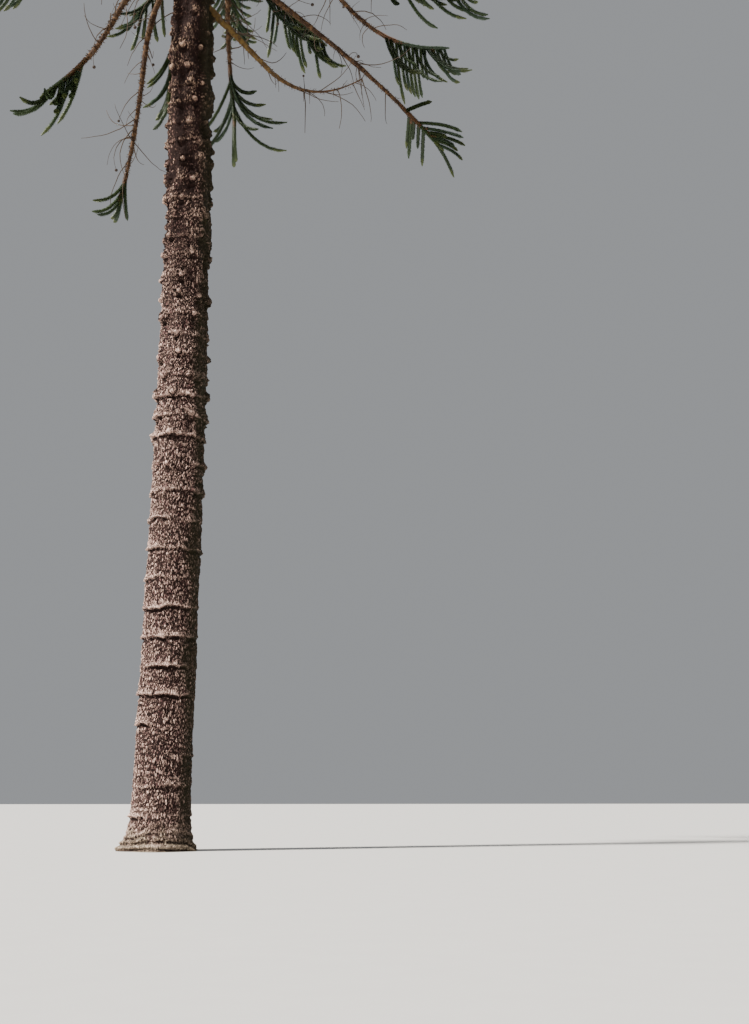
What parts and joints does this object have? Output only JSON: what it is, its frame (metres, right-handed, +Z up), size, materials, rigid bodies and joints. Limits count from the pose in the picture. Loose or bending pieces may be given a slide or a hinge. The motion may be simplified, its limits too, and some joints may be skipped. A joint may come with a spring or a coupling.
{
  "type": "monkey puzzle tree",
  "caption": "Tall evergreen tree with a bare ringed trunk, drooping whip-like boughs and snaky leaf-clad shoots.",
  "frame": {"origin": "centre of the flat cut under the trunk, at ground level", "axes": "+Z up along the trunk; +X to the right and +Y away in the picture's view"},
  "size_m": [10.5463, 10.2723, 24.6094],
  "materials": {
    "trunk_bark": "thick pinkish grey-brown bark in small upright plates with ring-shaped ledges, matt",
    "limb_bark": "rough brown bark with dry leaf bases, matt",
    "foliage": "stiff dark green scale leaves, half gloss, with yellow-green shoot ends"
  },
  "bodies": {
    "root": {"trunk": "trunk_bark", "bough_01": "limb_bark", "bough_02": "limb_bark", "bough_03": "limb_bark", "bough_04": "limb_bark", "bough_05": "limb_bark", "bough_06": "limb_bark", "bough_07": "limb_bark", "bough_08": "limb_bark", "bough_09": "limb_bark", "bough_10": "limb_bark", "bough_11": "limb_bark", "bough_12": "limb_bark", "bough_13": "limb_bark", "bough_14": "limb_bark", "bough_15": "limb_bark", "bough_16": "limb_bark", "foliage_01": "foliage", "foliage_02": "foliage", "foliage_03": "foliage", "foliage_04": "foliage", "foliage_06": "foliage", "foliage_07": "foliage", "foliage_08": "foliage", "foliage_09": "foliage", "foliage_10": "foliage", "foliage_11": "foliage", "foliage_12": "foliage", "foliage_13": "foliage", "foliage_14": "foliage", "foliage_15": "foliage", "foliage_16": "foliage", "crown_foliage_01": "foliage", "crown_foliage_02": "foliage", "crown_foliage_03": "foliage", "crown_foliage_04": "foliage", "crown_foliage_05": "foliage", "crown_foliage_06": "foliage", "crown_foliage_07": "foliage", "crown_foliage_08": "foliage", "crown_foliage_09": "foliage", "crown_foliage_10": "foliage", "crown_foliage_11": "foliage", "crown_foliage_12": "foliage", "crown_foliage_13": "foliage", "crown_foliage_14": "foliage", "crown_foliage_15": "foliage", "crown_foliage_16": "foliage", "crown_foliage_17": "foliage", "crown_foliage_18": "foliage", "crown_foliage_19": "foliage", "crown_foliage_20": "foliage", "crown_foliage_21": "foliage", "crown_foliage_22": "foliage", "crown_foliage_23": "foliage", "crown_foliage_24": "foliage", "crown_foliage_25": "foliage", "crown_foliage_26": "foliage", "crown_foliage_27": "foliage", "crown_leader": "foliage"}
  },
  "joints": []
}
